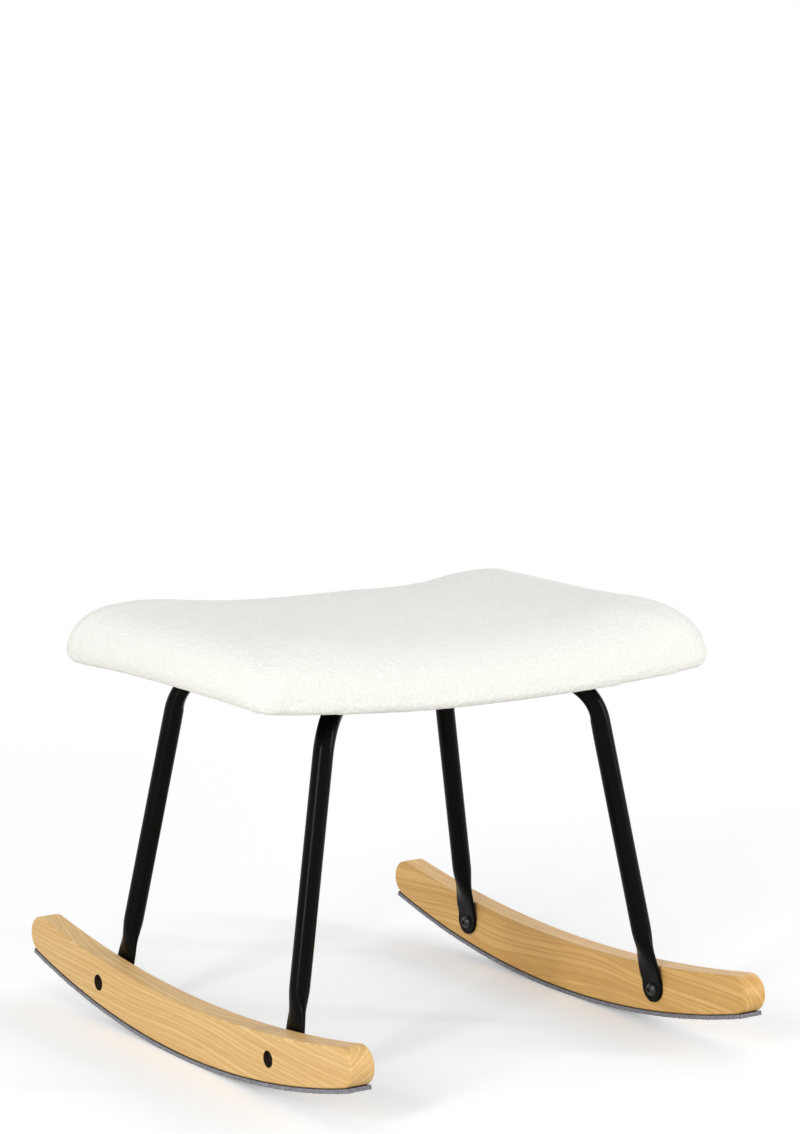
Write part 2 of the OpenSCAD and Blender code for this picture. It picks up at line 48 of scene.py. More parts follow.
# %% [markdown]
# The sizes below are those of the CAD source, in metres. Everything is measured from the floor
# under the middle of the footstool: X runs along the seat, -Y is the front and Z is up.

# %% Sizes
mm = 0.001
film_t, felt_t = 0.4 * mm, 4 * mm
sole_z = film_t + felt_t
rocker_in_x, rocker_out_x = 213.5 * mm, 240 * mm
sole_r, felt_reach, felt_inset = 1147 * mm, 304 * mm, 0.5 * mm
sole_cz = sole_z + sole_r
tube_r = 10 * mm
bolt_y, bolt_z, nut_r = 165.3 * mm, sole_z + 35.35 * mm, 8 * mm
lean, splay = math.radians(5.03), math.radians(10.19)
bend_r, apex_r, seat_bolt_in = 52 * mm, 40 * mm, 70 * mm
tab_w, tab_t, dent_w, dent_deep = 32 * mm, 3.2 * mm, 4.5 * mm, 0.22 * mm
tab_x = rocker_in_x - 0.05 * mm - tab_t / 2
crease_h, squeeze_h, foot_h, tab_end_h, upright_h = 16 * mm, 64 * mm, 2 * mm, 3 * mm, 7 * mm
curve_z, curve_r = 355.8 * mm, 1940 * mm
seat_l, seat_w = 528 * mm, 388 * mm
shoulder_z, end_rise, crown = 420.6 * mm, 31 * mm, 8 * mm
run_x, run_y, foot_x, foot_y = 80 * mm, 70 * mm, 4 * mm, 3 * mm
rim_x, rim_y = 11 * mm, 7 * mm
front_hang, rear_hang, right_hang, right_dip = 2.6 * mm, 9.5 * mm, 8 * mm, 4.8 * mm
corner_low, corner_top = 13 * mm, 48 * mm
widest, bow = 0.2, 2 * mm
hem_w, hem_drop = 28 * mm, 9.5 * mm
arc_cz = curve_z + curve_r
lining_r = curve_r - tube_r - 0.05 * mm
lining_t, lining_lap = 0.6 * mm, 12 * mm
board_r = lining_r - lining_t - 0.05 * mm
cover_r = board_r + hem_drop
print("seat underside in the middle:", round(arc_cz - cover_r, 4))


def low_z(x, r):
    """Height of a seat curve of radius r, a distance x from the middle."""
    return arc_cz - math.sqrt(r * r - x * x)


def high_z(x):
    """Height of the seat's top at its rim, which rises towards both ends."""
    return shoulder_z + end_rise * (abs(x) / (seat_l / 2)) ** 2.7


# %% [markdown]
# ## Shader maths
# A material is easier to read as a sum than as wires. This class wraps the output of a node, so
# that `1 - mask * 0.5` adds the Math nodes by itself. Colours go through Mix nodes instead,
# because a Math node would turn them grey.

# %% A wrapped socket
class Value:
    def __init__(self, paint, socket):
        self.paint, self.socket = paint, socket

    def maths(self, operation, a, b):
        return self.paint.node("ShaderNodeMath", {"operation": operation}, {0: a, 1: b})

    def __add__(self, other): return self.maths("ADD", self, other)
    __radd__ = __add__
    def __sub__(self, other): return self.maths("SUBTRACT", self, other)
    def __rsub__(self, other): return self.maths("SUBTRACT", other, self)
    def __mul__(self, other): return self.maths("MULTIPLY", self, other)
    def __rmul__(self, other): return self.maths("MULTIPLY", other, self)
    def __pow__(self, other): return self.maths("POWER", self, other)


# %% [markdown]
# Every other node comes from one method. It takes the node's type, then its settings, then the
# numbers or links of its sockets. The short names after it are for the patterns used most:
# clouds of noise, cells, a stretch of values and a mix of two colours.

# %% A bench for materials
class Paint:
    def __init__(self, tree):
        self.tree = tree
        tree.nodes.clear()

    def node(self, kind, settings=None, values=None, out=0):
        made = self.tree.nodes.new(kind)
        for key, value in (settings or {}).items():
            setattr(made, key, value)
        for key, value in (values or {}).items():
            if isinstance(value, Value):
                self.tree.links.new(value.socket, made.inputs[key])
            else:
                made.inputs[key].default_value = value
        return Value(self, made.outputs[out]) if made.outputs else None

    def place(self, scale=(1, 1, 1), shift=(0, 0, 0), turn=(0, 0, 0)):
        point = self.node("ShaderNodeTexCoord", out="Object")
        return self.node("ShaderNodeMapping", values={
            "Vector": point, "Scale": scale, "Location": shift, "Rotation": turn})

    def cloud(self, where, scale, detail=3, rough=0.55, twist=0.0, out=0):
        return self.node("ShaderNodeTexNoise", values={
            "Vector": where, "Scale": scale, "Detail": detail, "Roughness": rough,
            "Distortion": twist}, out=out)

    def cells(self, where, scale, feature="F1"):
        return self.node("ShaderNodeTexVoronoi", {"feature": feature}, {
            "Vector": where, "Scale": scale})

    def stretch(self, value, low, high, to_low=0.0, to_high=1.0):
        return self.node("ShaderNodeMapRange", values={
            0: value, 1: low, 2: high, 3: to_low, 4: to_high})

    def mix(self, share, one, two, blend="MIX"):
        one, two = [(*c, 1) if isinstance(c, tuple) else c for c in (one, two)]
        return self.node("ShaderNodeMix", {"data_type": "RGBA", "blend_type": blend},
                         {0: share, 6: one, 7: two}, 2)

    def bump(self, height, depth, strength=1.0):
        return self.node("ShaderNodeBump", values={
            "Height": height, "Distance": depth, "Strength": strength})


def finish(name, make):
    """A material whose make(paint) returns the values of its Principled shader."""
    material = bpy.data.materials.new(name)
    material.use_nodes = True
    paint = Paint(material.node_tree)
    shader = paint.node("ShaderNodeBsdfPrincipled", values=make(paint))
    paint.node("ShaderNodeOutputMaterial", values={"Surface": shader})
    return material


# %% [markdown]
# ## Camera
# The camera stands in front of the left corner, a little above the seat. Its long lens and small
# shift were found by matching the tube, rocker and seat edges with the photograph.

# %% Camera
photo_w, photo_h = 800, 1134
focal_px, middle_u, middle_v = 3736.42, 401.23, 539.25
film_mm = 36
camera_at = (-1.99932, -3.07876, 1.02781)
yaw, pitch, roll = (math.radians(a) for a in (33.25, 8.28, -0.1))
ahead = Vector((math.sin(yaw) * math.cos(pitch), math.cos(yaw) * math.cos(pitch),
                -math.sin(pitch)))
right = ahead.cross(Vector((0, 0, 1))).normalized()
up = right.cross(ahead)
right, up = (right * math.cos(roll) + up * math.sin(roll),
             up * math.cos(roll) - right * math.sin(roll))
lens = bpy.data.cameras.new("photo_camera")
lens.lens = focal_px / photo_h * film_mm
lens.shift_x = (photo_w / 2 - middle_u) / photo_h
lens.shift_y = (middle_v - photo_h / 2) / photo_h
camera = bpy.data.objects.new("photo_camera", lens)
scene.collection.objects.link(camera)
turn = Matrix((right, up, -ahead)).transposed()
camera.matrix_world = Matrix.Translation(camera_at) @ turn.to_4x4()
scene.camera = camera
print("lens:", round(lens.lens, 2), "mm")

# %% [markdown]
# ## Light and floor
# The photograph is lit low from the front on white: the seat's sides are brighter than its top.
# Two tall soft lamps stand low on the left and in front on the right, a weak one behind keeps
# the far sides readable, and the world fills the rest. The floor looks white to the camera but
# keeps the soft shadow, because only a part of its brightness is its own glow. Further out it
# turns plain white.

# %% World
scene.view_settings.view_transform = "Standard"
world = bpy.data.worlds.new("studio")
scene.world = world
world.use_nodes = True
air = Paint(world.node_tree)


def seen_directly(paint):
    """1 for rays from the camera, or by way of a shiny or clear surface."""
    rays = [paint.node("ShaderNodeLightPath", out=name)
            for name in ("Is Camera Ray", "Is Glossy Ray", "Is Transmission Ray")]
    return paint.node("ShaderNodeMath", {"operation": "ADD", "use_clamp": True},
                      {0: rays[0] + rays[1], 1: rays[2]})


white = air.node("ShaderNodeBackground", values={"Color": (1, 1, 1, 1), "Strength": 1.0})
fill = air.node("ShaderNodeBackground", values={"Color": (0.97, 0.98, 1, 1), "Strength": 0.56})
both = air.node("ShaderNodeMixShader", values={0: seen_directly(air), 1: fill, 2: white})
air.node("ShaderNodeOutputWorld", values={"Surface": both})


# %% Lamps
def soft_lamp(name, toward, distance, size, power, colour):
    data = bpy.data.lights.new(name, "AREA")
    data.shape, data.size, data.size_y = "RECTANGLE", size[0], size[1]
    data.energy, data.color = power, colour
    lamp = bpy.data.objects.new(name, data)
    lamp.location = Vector((0, 0, 0.25)) + Vector(toward).normalized() * distance
    lamp.rotation_euler = Vector(toward).to_track_quat("Z", "Y").to_euler()
    scene.collection.objects.link(lamp)


soft_lamp("key_lamp", (-0.85, -0.44, 0.32), 3.2, (0.6, 1.8), 50, (1, 0.985, 0.91))
soft_lamp("right_lamp", (0.82, -0.78, 0.27), 3.2, (0.5, 1.6), 37, (1, 0.985, 0.91))
soft_lamp("far_lamp", (0.75, 0.62, 0.45), 3.2, (1.2, 1.6), 12, (1, 1, 1))

# %% Floor
bm = bmesh.new()
bmesh.ops.create_grid(bm, x_segments=2, y_segments=2, size=9)
mesh = bpy.data.meshes.new("floor")
bm.to_mesh(mesh)
bm.free()
floor = bpy.data.objects.new("floor", mesh)
scene.collection.objects.link(floor)
floor_material = bpy.data.materials.new("white_floor")
floor_material.use_nodes = True
ground = Paint(floor_material.node_tree)
matt = ground.node("ShaderNodeBsdfDiffuse", values={"Color": (0.70, 0.70, 0.69, 1)})
pale = ground.node("ShaderNodeBsdfDiffuse", values={"Color": (0.94, 0.95, 0.97, 1)})
glow = ground.node("ShaderNodeEmission", values={"Color": (1, 1, 1, 1), "Strength": 0.24})
lit = ground.node("ShaderNodeAddShader", values={0: pale, 1: glow})
plain = ground.node("ShaderNodeEmission", values={"Color": (1, 1, 1, 1), "Strength": 1.0})
away = ground.node("ShaderNodeVectorMath", {"operation": "LENGTH"}, {0: ground.place()}, "Value")
lit = ground.node("ShaderNodeMixShader", values={
    0: ground.stretch(away, 0.7, 1.6), 1: lit, 2: plain})
ground.node("ShaderNodeOutputMaterial", values={"Surface": ground.node(
    "ShaderNodeMixShader", values={0: seen_directly(ground), 1: matt, 2: lit})})
mesh.materials.append(floor_material)

# %% [markdown]
# ## Oak
# The rockers are sawn from straight-grained pale oak under a satin lacquer. Wood is a solid
# pattern: growth rings are long cylinders round a core that lies outside the plank, so one
# pattern gives streaks along the sides, wide arches where the cut is shallow, and arcs on the
# rounded ends. Each layer reads the object's coordinates, stretched along the grain. The drilled
# walls over the sleeve nuts are painted nearly black: painted shade inside the holes.

# %% Oak finish
def nut_hole_shade(p):
    """1 on the wall of a sleeve nut's hole, where the painted shade goes, 0 on the rest of the
    wood.
    """
    apart = p.node("ShaderNodeSeparateXYZ", values={0: p.place()}, out="Y")
    y, z = [Value(p, s) for s in apart.socket.node.outputs][1:]
    aside = p.node("ShaderNodeMath", {"operation": "ABSOLUTE"}, {0: y}) - bolt_y
    over = z - bolt_z
    away = (aside * aside + over * over) ** 0.5
    return p.stretch(away, nut_r + 0.2 * mm, nut_r + 0.5 * mm, 1.0, 0.0)


def oak(shift, pale, tan, deep):
    def make(p):
        wave = p.cloud(p.place((5, 1.6, 5), shift), 1, 2, out="Color")
        base = p.place((1, 1, 1), shift)
        bent = p.node("ShaderNodeVectorMath", {"operation": "MULTIPLY_ADD"}, {
            0: wave, 1: (0.05, 0.0, 0.075), 2: base})
        apart = p.node("ShaderNodeSeparateXYZ", values={0: bent}, out="X")
        x, y, z = [Value(p, s) for s in apart.socket.node.outputs]
        across = x + 0.075 + y * 0.018
        over = z + 0.11 - y * 0.035
        ring_r = (across * across + over * over) ** 0.5
        rings = p.node("ShaderNodeTexNoise", {"noise_dimensions": "1D"}, {
            "W": ring_r * 330, "Scale": 1.0, "Detail": 2.5, "Roughness": 0.6})
        bands = p.stretch(rings, 0.32, 0.72)
        streak = p.cloud(p.place((190, 7, 190), shift), 1, 4, 0.6)
        tone = p.cloud(p.place((9, 2.2, 14), shift), 1, 2)
        pores = p.stretch(p.cloud(p.place((1500, 42, 1500), shift), 1, 2, 0.5), 0.60, 0.74)
        pores = pores * p.stretch(bands, 0.25, 0.8, 0.25, 1.0)
        rays = p.stretch(p.cloud(p.place((90, 60, 420), shift), 1, 1, 0.5), 0.66, 0.78)
        wood = p.mix(bands, pale, tan)
        wood = p.mix(p.stretch(streak, 0.35, 0.7) * 0.5, wood, deep)
        wood = p.mix(p.stretch(tone, 0.3, 0.75) * 0.3, wood, pale)
        wood = p.mix(rays * 0.2, wood, (0.90, 0.68, 0.36))
        from_line = p.node("ShaderNodeMath", {"operation": "ABSOLUTE"}, {0: rings - 0.52})
        line = p.stretch(from_line, 0.0, 0.05, 1.0, 0.0)
        wood = p.mix(line * 0.6, wood, deep)
        wood = p.mix(pores * 0.45, wood, (0.36, 0.17, 0.05))
        # painted shade: the walls of the nut holes are coloured nearly black
        wood = p.mix(nut_hole_shade(p), wood, (0.030, 0.018, 0.010))
        height = streak * 0.25 - pores * 0.8 + bands * 0.15 - line * 0.1
        return {"Base Color": wood, "Roughness": 0.42 + pores * 0.2 + streak * 0.08,
                "Normal": p.bump(height, 0.12 * mm, 0.6), "Specular IOR Level": 0.35}
    return make


left_oak = finish("oak_left", oak((0.0, 0.13, 0.0), (0.89, 0.62, 0.285),
                                  (0.75, 0.455, 0.16), (0.63, 0.34, 0.10)))
# painted shade: the right rocker gets a darker, more saturated copy of the oak, for the shade it
# stands in under the seat
shaded_right_oak = finish("oak_right_painted_shade", oak((0.31, -0.42, 0.007), (0.88, 0.565, 0.21),
                                    (0.71, 0.395, 0.11), (0.58, 0.285, 0.07)))


# %% [markdown]
# ## Powder-coated and plain metal
# The frames are black with a satin coat: nearly no colour, a very fine orange-peel surface and
# a low, broad gloss. The screws are black with a stronger gloss, the nuts in the rockers are
# browned steel, and the staples and the insert nuts are zinc-plated.

# %% Metal finishes
def black_coat(p):
    peel = p.cloud(p.place(), 900, 2, 0.5)
    drift = p.cloud(p.place(), 14, 2)
    return {"Base Color": p.mix(drift, (0.0018, 0.0019, 0.0017), (0.0034, 0.0036, 0.0032)),
            "Roughness": p.stretch(drift, 0.3, 0.7, 0.18, 0.25),
            "Specular IOR Level": 0.055, "Normal": p.bump(peel, 0.02 * mm, 0.3)}


def screw_black(p):
    drift = p.cloud(p.place(), 260, 3)
    return {"Base Color": p.mix(drift, (0.008, 0.008, 0.008), (0.02, 0.02, 0.02)),
            "Roughness": p.stretch(drift, 0.3, 0.7, 0.22, 0.36),
            "Specular IOR Level": 0.45, "Normal": p.bump(drift, 0.02 * mm, 0.3)}


def browned_steel(p):
    drift = p.cloud(p.place(), 320, 3)
    return {"Base Color": p.mix(drift, (0.018, 0.014, 0.011), (0.05, 0.04, 0.032)),
            "Roughness": p.stretch(drift, 0.3, 0.7, 0.34, 0.5), "Metallic": 0.7,
            "Normal": p.bump(drift, 0.02 * mm, 0.3)}


def zinc(p):
    grain = p.cloud(p.place((300, 300, 2400)), 1, 3)
    return {"Base Color": p.mix(grain, (0.50, 0.51, 0.53), (0.72, 0.72, 0.72)),
            "Roughness": p.stretch(grain, 0.3, 0.7, 0.28, 0.42), "Metallic": 1.0,
            "Normal": p.bump(grain, 0.01 * mm, 0.3)}


black_steel = finish("black_powder_coat", black_coat)
screw_steel = finish("screw_black", screw_black)
nut_steel = finish("browned_steel", browned_steel)
zinc_steel = finish("zinc_steel", zinc)


# %% [markdown]
# ## Felt, adhesive, plywood and lining
# Pressed felt is a mat of grey and lilac fibres, so its colour is mottled at two sizes and its
# surface is rough. The adhesive between felt and wood shows as one dark line. The seat board is
# hidden, so its plywood has only a plain streak along it. The black lining is a thin bonded cloth
# with a grid of welded dots.

# %% Quiet finishes
def felt(p):
    blot = p.cloud(p.place(), 420, 4, 0.7)
    fibre = p.cloud(p.place((900, 900, 900), turn=(0.4, 0.7, 0.3)), 1, 3, 0.7, 1.5)
    fleck = p.stretch(blot * 0.6 + fibre * 0.4, 0.38, 0.64)
    grey = p.mix(fleck, (0.115, 0.115, 0.145), (0.40, 0.40, 0.455))
    return {"Base Color": grey, "Roughness": 1.0, "Specular IOR Level": 0.15,
            "Sheen Weight": 0.25, "Normal": p.bump(fibre + blot, 0.7 * mm, 0.9)}


def adhesive(p):
    drift = p.cloud(p.place(), 240, 3)
    return {"Base Color": p.mix(drift, (0.018, 0.016, 0.014), (0.04, 0.034, 0.03)),
            "Roughness": 0.7, "Normal": p.bump(drift, 0.1 * mm, 0.4)}


def plywood(p):
    streak = p.cloud(p.place((12, 260, 260)), 1, 4)
    return {"Base Color": p.mix(streak, (0.56, 0.39, 0.21), (0.74, 0.56, 0.35)),
            "Roughness": p.stretch(streak, 0.3, 0.7, 0.55, 0.75),
            "Normal": p.bump(streak, 0.1 * mm, 0.5)}


def bonded_cloth(p):
    where = p.place((1, 1, 0.0001))
    dots = p.node("ShaderNodeTexVoronoi", {"feature": "F1"}, {
        "Vector": where, "Scale": 520.0, "Randomness": 0.0})
    fibre = p.cloud(where, 1300, 4, 0.7, 2.0)
    weld = p.stretch(dots, 0.22, 0.34)
    return {"Base Color": p.mix(fibre * weld, (0.010, 0.010, 0.011), (0.045, 0.045, 0.048)),
            "Roughness": 0.85, "Specular IOR Level": 0.3,
            "Normal": p.bump(weld * 0.7 + fibre * 0.4, 0.25 * mm, 0.8)}


felt_grey = finish("pressed_felt", felt)
film_dark = finish("adhesive_film", adhesive)
ply = finish("plywood", plywood)
lining_black = finish("bonded_lining", bonded_cloth)


# %% [markdown]
# ## Looped pile
# The cover is a short looped pile: small curls packed side by side, off-white. Its colour is
# darker and warmer between the curls and the tufts, which is painted shade in the gaps. Large
# nubs are real dents and bumps in the mesh further down; this material adds the smaller curls
# and the single yarns, which are too fine for the mesh.

# %% Pile finish
def looped_pile(p):
    drift = p.cloud(p.place(), 160, 2, out="Color")
    curled = p.node("ShaderNodeVectorMath", {"operation": "MULTIPLY_ADD"}, {
        0: drift, 1: (0.003, 0.003, 0.003), 2: p.place()})
    loops = p.cells(curled, 620, "SMOOTH_F1")
    yarns = p.cloud(curled, 1500, 3, 0.65, 0.6)
    tuft = p.cells(curled, 260)
    depth = p.stretch(loops, 0.10, 0.62)
    wide = p.cloud(p.place(), 7, 2)
    # painted shade: darker and warmer in the gaps between the curls and between the tufts
    pile = p.mix(depth, (0.965, 0.960, 0.945), (0.91, 0.90, 0.87))
    pile = p.mix(p.stretch(tuft, 0.35, 0.8) * 0.3, pile, (0.90, 0.89, 0.86))
    pile = p.mix(p.stretch(wide, 0.3, 0.7) * 0.12, pile, (0.96, 0.95, 0.92))
    height = (1 - depth) * 0.9 + yarns * 0.45 + (1 - tuft) * 0.3
    return {"Base Color": pile, "Roughness": 1.0, "Specular IOR Level": 0.1,
            "Sheen Weight": 0.35, "Sheen Roughness": 0.6,
            "Normal": p.bump(height, 0.4 * mm, 0.55)}


pile_white = finish("looped_pile", looped_pile)
print("finishes:", [m.name for m in bpy.data.materials])


# %% [markdown]
# ## Pieces from meshes
# Every new piece goes through one function: the finished mesh gets its normals, smooth shading
# with sharp edges kept, its material, and then it rides on the footstool's one rigid body.

# %% A finished piece
def piece(name, bm, material, replaced, sharp=40, outward=True):
    bmesh.ops.remove_doubles(bm, verts=bm.verts, dist=0.002 * mm)
    if outward:
        bmesh.ops.recalc_face_normals(bm, faces=bm.faces)
    mesh = bpy.data.meshes.new(name)
    bm.to_mesh(mesh)
    bm.free()
    mesh.shade_smooth()
    mesh.set_sharp_from_angle(angle=math.radians(sharp))
    mesh.materials.append(material)
    made = bpy.data.objects.new(name, mesh)
    scene.collection.objects.link(made)
    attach(made, "root")
    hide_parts(*replaced)
    print(name, "faces:", len(mesh.polygons))
    return made


def sorted_ring(found):
    """The vertices and the edges of the newest ring in an operator's result."""
    return ([e for e in found if isinstance(e, bmesh.types.BMVert)],
            [e for e in found if isinstance(e, bmesh.types.BMEdge)])


# %% [markdown]
# ## Tube frames
# Each frame is one length of 20 mm tube, bent to a V under the seat: two arms that meet in a
# round bend at the seat's centre, a tight bend at the end of each arm, and two legs whose ends
# are squeezed flat into tabs. The tube is drawn as a ring that is spun round the middle bend,
# pulled along the arm, spun round the second bend and pulled down the leg. For the squeezed
# end the ring's points slide from the circle to a flat slot of nearly the same girth, as the
# real wall does in the press. All of it is worked out in the leaning plane of the two legs,
# with its origin between the rocker bolts.

# %% The corner of leg and arm
tan_splay = math.tan(splay)
foot_out = tab_x + foot_h * tan_splay
seat_bolt_x = foot_out - (curve_z - bolt_z) / math.cos(lean) * tan_splay - seat_bolt_in
arm_slope = math.tan(math.asin(seat_bolt_x / curve_r))
apex_z = low_z(seat_bolt_x, curve_r) - arm_slope * seat_bolt_x
corner_h = (apex_z + arm_slope * foot_out - bolt_z) / (math.cos(lean) + arm_slope * tan_splay)
to_legs = Matrix.Rotation(lean, 4, "X") @ Matrix.Translation((0, bolt_y, -bolt_z))
corner = Vector((foot_out - corner_h * tan_splay, 0, corner_h))
centre = to_legs @ Vector((0, 0, apex_z))
leg_way = Vector((math.sin(splay), 0, -math.cos(splay)))
print("corner:", [round(v, 4) for v in to_legs.inverted() @ corner])

# %% The two bends
arm_way = (corner - centre).normalized()
arm_turn = arm_way.angle(Vector((1, 0, 0)))
bend_turn = arm_way.angle(leg_way)
bend_run = bend_r * math.tan(bend_turn / 2)
apex_run = apex_r * math.tan(arm_turn)
bend_axis = arm_way.cross(leg_way).normalized()
bend_centre = corner - arm_way * bend_run + bend_axis.cross(arm_way) * bend_r
leg_len = (corner_h - squeeze_h) / math.cos(splay) - bend_run
girth_points = 48
squeeze_rings, turn_rings, round_rings, end_arc = 15, 5, 11, math.radians(84)
print("bend:", round(math.degrees(bend_turn), 2), "degrees, leg:", round(leg_len, 4))


def slot_point(share, half, thick):
    """A point on a flat slot's outline: (through the thickness, across the width)."""
    flat, arc = half - thick / 2, math.pi * thick / 2
    way = (share % 1) * (4 * flat + 2 * arc)
    if way < flat:
        return thick / 2, way
    if way < flat + arc:
        a = (way - flat) / (thick / 2)
        return math.cos(a) * thick / 2, flat + math.sin(a) * thick / 2
    if way < 3 * flat + arc:
        return -thick / 2, flat - (way - flat - arc)
    if way < 3 * flat + 2 * arc:
        a = (way - 3 * flat - arc) / (thick / 2)
        return -math.cos(a) * thick / 2, -flat - math.sin(a) * thick / 2
    return thick / 2, way - 4 * flat - 2 * arc


# %% The squeezed end
def ease(t):
    """A step from 0 to 1 that starts and ends gently."""
    t = max(0.0, min(1.0, t))
    return t * t * (3 - 2 * t)


def squeeze_ring(verts, shares, blend, middle, tilt, half):
    """Puts a ring between the round tube (blend 0) and the flat slot (blend 1)."""
    along = Vector((math.cos(tilt), 0, math.sin(tilt)))
    for v, share in zip(verts, shares):
        a = share * 2 * math.pi
        thick, wide = slot_point(share, half, tab_t)
        thick = thick * blend + math.cos(a) * tube_r * (1 - blend)
        wide = wide * blend + math.sin(a) * tube_r * (1 - blend)
        if blend == 1:
            thick -= math.copysign(dent_deep, thick) * math.exp(-(wide / dent_w) ** 2)
        v.co = middle + along * thick + Vector((0, wide, 0))


def pull_ring(bm, edges):
    """Extrudes an open ring and returns the new ring's vertices and edges."""
    verts, edges = sorted_ring(bmesh.ops.extrude_edge_only(bm, edges=edges)["geom"])
    return verts, [e for e in edges if e.verts[0] in verts and e.verts[1] in verts]


def press_end(bm, verts, edges):
    """Squeezes a leg to a slot, turns that upright as the tab, and rounds the tab's end."""
    start = Vector((foot_out - squeeze_h * tan_splay, 0, squeeze_h))
    crease = Vector((foot_out - crease_h * tan_splay, 0, crease_h))
    upright = Vector((tab_x, 0, upright_h))
    across = Vector((math.cos(splay), 0, math.sin(splay)))
    shares = {v: math.atan2(v.co.y, (v.co - start).dot(across)) / (2 * math.pi) % 1
              for v in verts}
    for count in range(1, squeeze_rings + turn_rings + round_rings + 1):
        old = verts
        verts, edges = pull_ring(bm, edges)
        near = {v: min(old, key=lambda o: (o.co - v.co).length_squared) for v in verts}
        shares = {v: shares[near[v]] for v in verts}
        if count <= squeeze_rings:
            s = count / squeeze_rings
            middle = start.lerp(crease, s)
            blend, tilt, half = ease(s), splay, tab_w / 2
        elif count <= squeeze_rings + turn_rings:
            s = (count - squeeze_rings) / turn_rings
            middle = crease.lerp(upright, s)
            blend, tilt, half = 1, splay * (1 - s), tab_w / 2
        else:
            a = (count - squeeze_rings - turn_rings) / round_rings * end_arc
            middle = Vector((tab_x, 0, tab_end_h - math.sin(a) * tab_w / 2))
            blend, tilt, half = 1, 0, max(math.cos(a) * tab_w / 2, tab_t / 2)
        squeeze_ring(verts, [shares[v] for v in verts], blend, middle, tilt, half)
    return edges


# %% Half a frame
def spin_ring(bm, ring, about, axis, angle, steps):
    spun = bmesh.ops.spin(bm, geom=ring, cent=about, axis=axis, dvec=(0, 0, 0), angle=angle,
                          steps=steps, use_duplicate=False)
    return sorted_ring(spun["geom_last"])


def straight_tube(bm, edges, way, length, steps):
    for _ in range(steps):
        verts, edges = pull_ring(bm, edges)
        bmesh.ops.translate(bm, verts=verts, vec=way * length / steps)
    return verts, edges


def half_frame(bm):
    """From the middle of the V down one leg to the rounded end of its tab."""
    sideways = Vector((1, 0, 0))
    flat_way = (arm_way - sideways * arm_way.x).normalized()
    apex_centre = centre + flat_way * apex_r / math.cos(arm_turn)
    bmesh.ops.create_circle(bm, segments=girth_points, radius=tube_r, matrix=(
        Matrix.Translation(apex_centre - flat_way * apex_r)
        @ Matrix.Rotation(math.pi / 2, 4, "Y")))
    verts, edges = spin_ring(bm, bm.verts[:] + bm.edges[:], apex_centre,
                             sideways.cross(flat_way), arm_turn, 16)
    arm_len = (corner - centre).length - apex_run - bend_run
    verts, edges = straight_tube(bm, edges, arm_way, arm_len, 8)
    verts, edges = spin_ring(bm, verts + edges, bend_centre, bend_axis, bend_turn, 34)
    verts, edges = straight_tube(bm, edges, leg_way, leg_len, 14)
    edges = press_end(bm, verts, edges)
    bmesh.ops.holes_fill(bm, edges=edges, sides=0)


# %% [markdown]
# A press bends such a thin tube without a mandrel, so the inside of each bend is crushed: a
# shallow valley with a ridge on each side, which ends in a small step where the leg begins.
# The points near a bend's inside are moved towards the tube's middle to show that.

# %% Crushed bends
valley_deep, ridge_high, back_flat, step_high = 2.3 * mm, 0.55 * mm, 0.5 * mm, 0.35 * mm


def crush(bm):
    start = -bend_axis.cross(arm_way)
    for v in bm.verts:
        out = v.co - bend_centre
        across = out.dot(bend_axis)
        out -= bend_axis * across
        turn = math.atan2(out.dot(arm_way), out.dot(start)) / bend_turn
        if not (-0.25 < turn < 1.35 and out.length < bend_r + 1.2 * tube_r):
            continue
        inside = math.atan2(across, bend_r - out.length)
        amount = max(0.0, 1 - abs(2 * turn - 1.05) ** 3.2) if 0 < turn < 1.05 else 0.0
        step = math.exp(-((turn - 1.08) / 0.07) ** 2)
        valley = valley_deep * math.exp(-(inside / 0.55) ** 2)
        ridge = ridge_high * math.exp(-((abs(inside) - 1.05) / 0.3) ** 2)
        flat = back_flat * math.exp(-((abs(inside) - math.pi) / 0.9) ** 2)
        facing = step_high * math.exp(-(inside / 0.9) ** 2)
        v.co += out.normalized() * (amount * (valley - ridge - flat) - step * facing)


def leg_frame(name, side):
    bm = bmesh.new()
    half_frame(bm)
    crush(bm)
    bmesh.ops.mirror(bm, geom=bm.verts[:] + bm.edges[:] + bm.faces[:], axis="X",
                     matrix=Matrix.Identity(4), merge_dist=0.01 * mm)
    place = (Matrix.Diagonal((1, side, 1, 1)) @ Matrix.Translation((0, -bolt_y, bolt_z))
             @ Matrix.Rotation(-lean, 4, "X"))
    bm.transform(place)
    piece(name + "_tube_frame", bm, black_steel, [name + "_leg_frame"], sharp=50)


leg_frame("front", 1)
leg_frame("rear", -1)

# %% [markdown]
# ## Felt soles
# A sole is a strip of pressed felt, spun along the rocker's curve. It is slightly shorter than
# the wood, so its ends stand free where the wood turns up. Cut felt is never straight, so the
# strip's skin is shaken a little, most of all along its edges.

# %% Felt strips
edge_shake, face_shake, end_y, floor_gap = 0.45 * mm, 0.22 * mm, 290 * mm, 0.02 * mm


